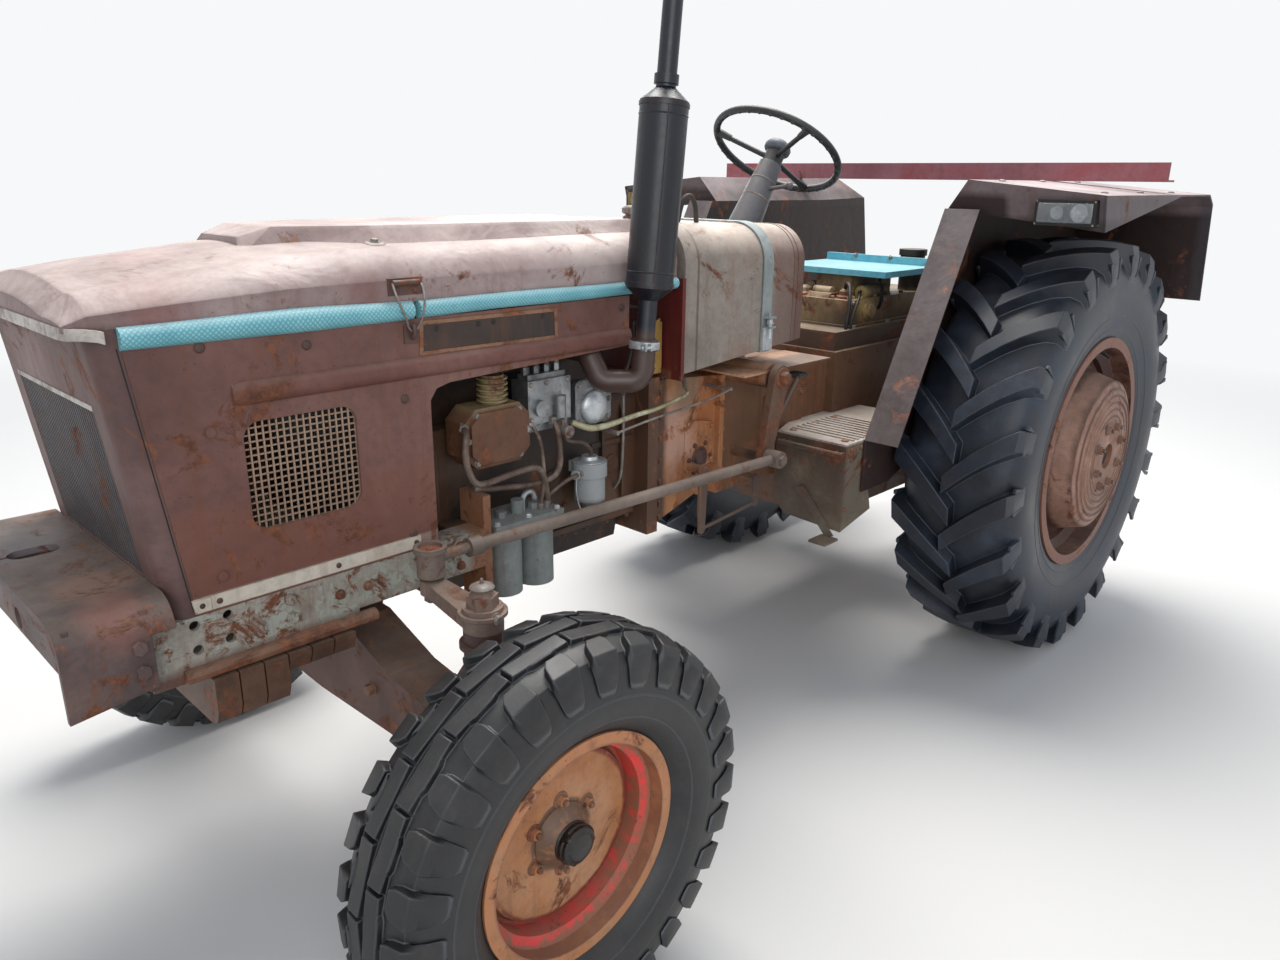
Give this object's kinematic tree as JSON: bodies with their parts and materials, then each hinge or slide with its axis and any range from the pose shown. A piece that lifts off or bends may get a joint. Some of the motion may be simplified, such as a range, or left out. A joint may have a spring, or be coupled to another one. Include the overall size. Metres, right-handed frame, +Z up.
{
  "type": "farm tractor",
  "caption": "Worn two-wheel-drive farm tractor with an open engine side, sheet fenders over lugged rear tyres, and a rear hitch; it steers and rolls.",
  "frame": {"origin": "on the floor, in the middle of the overall length and width", "axes": "+X forward, +Y to the driver's left, +Z up"},
  "size_m": [3.8899, 1.83, 2.1423],
  "materials": {
    "front_frame": "worn green-grey paint over rust",
    "front_bumper": "rusty thick plate",
    "ballast_weights": "rusty cast",
    "front_axle": "rusty",
    "nose_shell": "faded reddish brown",
    "grille": "dark grey",
    "radiator": "black",
    "bonnet": "faded reddish brown",
    "side_panels": "faded reddish brown",
    "side_meshes": "dull tan wire",
    "seam_hoses": "turquoise braided hose",
    "engine_block": "oily",
    "fuel_injection_pump": "dull cast",
    "compressor": "rusty cast",
    "fuel_filters": "grey",
    "exhaust": "gloss black",
    "gearbox_housing": "orange rust",
    "rear_axle_housing": "rusty cast",
    "lift_housing": "oily cast",
    "fuel_tank": "grey sides, brown top",
    "tank_strap": "dull",
    "tank_cradle": "dark red",
    "steering_column": "dark grey",
    "footplates": "worn grey",
    "step_guards": "rusty plate",
    "fenders": "faded reddish brown",
    "fender_lamps": "clear lens in dark case",
    "fender_tie_bar": "red",
    "seat_board": "painted cyan",
    "drawbar": "rusty",
    "steering_wheel": "worn black",
    "lift_arms": "rusty",
    "lift_rods": "worn",
    "lower_links": "rusty",
    "rear_tyre": "worn",
    "rear_rim": "rust orange",
    "front_tyre": "worn",
    "front_rim": "rust orange with red band",
    "knuckle": "rusty forging",
    "drag_link": "rusty tube",
    "drop_arm": "rusty forging"
  },
  "bodies": {
    "chassis": {"front_frame": "front_frame", "front_bumper": "front_bumper", "ballast_weights": "ballast_weights", "front_axle": "front_axle", "nose_shell": "nose_shell", "grille": "grille", "radiator": "radiator", "bonnet": "bonnet", "side_panels": "side_panels", "side_meshes": "side_meshes", "seam_hoses": "seam_hoses", "engine_block": "engine_block", "fuel_injection_pump": "fuel_injection_pump", "compressor": "compressor", "fuel_filters": "fuel_filters", "exhaust": "exhaust", "gearbox_housing": "gearbox_housing", "rear_axle_housing": "rear_axle_housing", "lift_housing": "lift_housing", "fuel_tank": "fuel_tank", "tank_strap": "tank_strap", "tank_cradle": "tank_cradle", "steering_column": "steering_column", "footplates": "footplates", "step_guards": "step_guards", "fenders": "fenders", "fender_lamps": "fender_lamps", "fender_tie_bar": "fender_tie_bar", "seat_board": "seat_board", "drawbar": "drawbar"},
    "steering_wheel": {"steering_wheel": "steering_wheel"},
    "lift_arms": {"lift_arms": "lift_arms"},
    "lift_rods": {"lift_rods": "lift_rods"},
    "lower_links": {"lower_links": "lower_links"},
    "rear_wheel_left": {"rear_tyre_left": "rear_tyre", "rear_rim_left": "rear_rim"},
    "front_wheel_left": {"front_tyre_left": "front_tyre", "front_rim_left": "front_rim"},
    "knuckle_left": {"knuckle_left": "knuckle"},
    "drag_link_left": {"drag_link_left": "drag_link"},
    "drop_arm_left": {"drop_arm_left": "drop_arm"},
    "rear_wheel_right": {"rear_tyre_right": "rear_tyre", "rear_rim_right": "rear_rim"},
    "front_wheel_right": {"front_tyre_right": "front_tyre", "front_rim_right": "front_rim"},
    "knuckle_right": {"knuckle_right": "knuckle"},
    "drag_link_right": {"drag_link_right": "drag_link"},
    "drop_arm_right": {"drop_arm_right": "drop_arm"}
  },
  "joints": [
    {"name": "rear_wheel_left_roll", "type": "hinge", "parent": "chassis", "child": "rear_wheel_left", "pos_m": [-0.94299, 0.672, 0.685], "axis": [0, 1, 0], "continuous": true},
    {"name": "steer_left", "type": "hinge", "parent": "chassis", "child": "knuckle_left", "pos_m": [1.31901, 0.557, 0.738], "axis": [0, 0, 1], "range_deg": [-45, 45]},
    {"name": "front_wheel_left_roll", "type": "hinge", "parent": "knuckle_left", "child": "front_wheel_left", "pos_m": [1.31901, 0.762, 0.403], "axis": [0, 1, 0], "continuous": true},
    {"name": "drag_link_left_swing", "type": "hinge", "parent": "knuckle_left", "child": "drag_link_left", "pos_m": [1.29701, 0.36, 0.812], "axis": [0, 0, 1], "range_deg": [-45, 45]},
    {"name": "drop_arm_left_swing", "type": "hinge", "parent": "chassis", "child": "drop_arm_left", "pos_m": [0.13501, 0.33, 1.012], "axis": [0, 1, 0], "range_deg": [-40.1, 40.1]},
    {"name": "rear_wheel_right_roll", "type": "hinge", "parent": "chassis", "child": "rear_wheel_right", "pos_m": [-0.94299, -0.672, 0.685], "axis": [0, 1, 0], "continuous": true},
    {"name": "steer_right", "type": "hinge", "parent": "chassis", "child": "knuckle_right", "pos_m": [1.31901, -0.557, 0.738], "axis": [0, 0, 1], "range_deg": [-45, 45]},
    {"name": "front_wheel_right_roll", "type": "hinge", "parent": "knuckle_right", "child": "front_wheel_right", "pos_m": [1.31901, -0.762, 0.403], "axis": [0, 1, 0], "continuous": true},
    {"name": "drag_link_right_swing", "type": "hinge", "parent": "knuckle_right", "child": "drag_link_right", "pos_m": [1.29701, -0.36, 0.812], "axis": [0, 0, 1], "range_deg": [-45, 45]},
    {"name": "drop_arm_right_swing", "type": "hinge", "parent": "chassis", "child": "drop_arm_right", "pos_m": [0.13501, -0.33, 1.012], "axis": [0, 1, 0], "range_deg": [-40.1, 40.1]},
    {"name": "steering_wheel_turn", "type": "hinge", "parent": "chassis", "child": "steering_wheel", "pos_m": [-0.26099, 0, 1.619], "axis": [-0.5592, 0, 0.829], "range_deg": [-630, 630]},
    {"name": "hitch_lift", "type": "hinge", "parent": "chassis", "child": "lift_arms", "pos_m": [-1.10299, 0, 1.06], "axis": [0, 1, 0], "range_deg": [-5, 50]},
    {"name": "lift_rod_swing", "type": "hinge", "parent": "lift_arms", "child": "lift_rods", "pos_m": [-1.39189, 0, 1.03472], "axis": [0, 1, 0], "range_deg": [-45.53, 4.64]},
    {"name": "lower_link_lift", "type": "hinge", "parent": "chassis", "child": "lower_links", "pos_m": [-1.10299, 0, 0.47], "axis": [0, 1, 0], "range_deg": [-3.3, 32.1]}
  ],
  "couplings": [
    {"joint": "drag_link_left_swing", "follows": "steer_left", "ratio": -1},
    {"joint": "drop_arm_left_swing", "follows": "steer_left", "ratio": -0.89},
    {"joint": "drag_link_right_swing", "follows": "steer_left", "ratio": -1},
    {"joint": "drop_arm_right_swing", "follows": "steer_left", "ratio": 0.89},
    {"joint": "steer_right", "follows": "steer_left", "ratio": 1},
    {"joint": "steering_wheel_turn", "follows": "steer_left", "ratio": 14},
    {"joint": "lift_rod_swing", "follows": "hitch_lift", "ratio": -0.9086},
    {"joint": "lower_link_lift", "follows": "hitch_lift", "ratio": 0.64}
  ]
}
